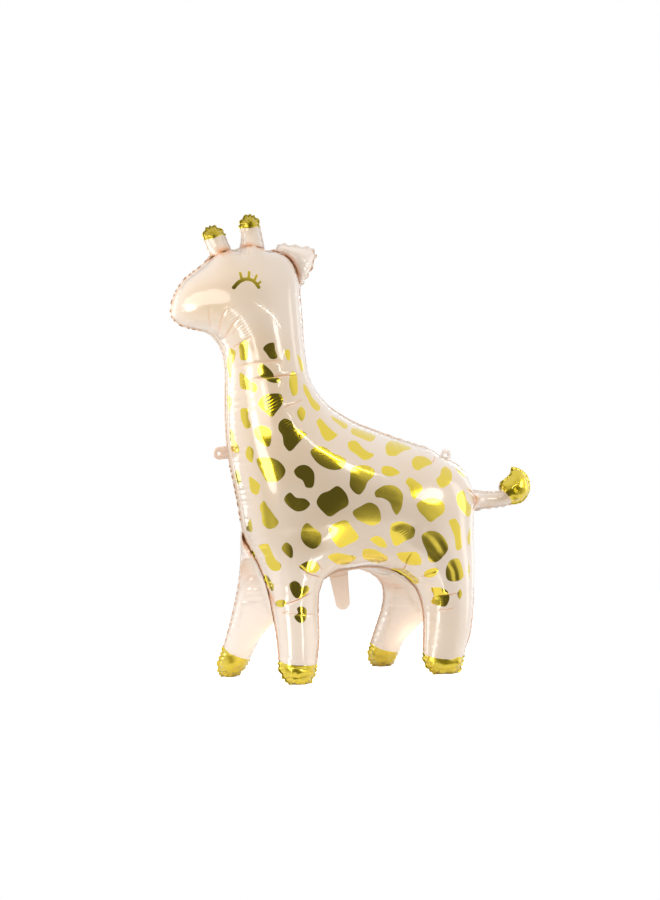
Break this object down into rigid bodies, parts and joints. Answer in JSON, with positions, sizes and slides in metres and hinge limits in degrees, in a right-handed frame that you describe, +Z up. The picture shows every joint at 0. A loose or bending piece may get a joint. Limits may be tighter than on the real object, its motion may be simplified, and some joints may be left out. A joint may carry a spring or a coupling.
{
  "type": "giraffe foil balloon",
  "caption": "Inflated foil balloon shaped like a giraffe, standing on four legs, with ribbon tabs at chest and back and a filling valve under the belly.",
  "frame": {"origin": "centre of the envelope's box, on the floor that the four hooves stand on", "axes": "+Z up, the giraffe looks towards -X, its near side is -Y"},
  "size_m": [0.8202, 0.3056, 1.0198],
  "materials": {
    "cream_foil": "glossy metallised film, cream with mirror-gold spots, hooves, horn tips and tail tuft",
    "valve_film": "flat translucent film, pinkish beige, satin"
  },
  "bodies": {
    "root": {"balloon_envelope": "cream_foil", "filling_valve": "valve_film"}
  },
  "joints": []
}
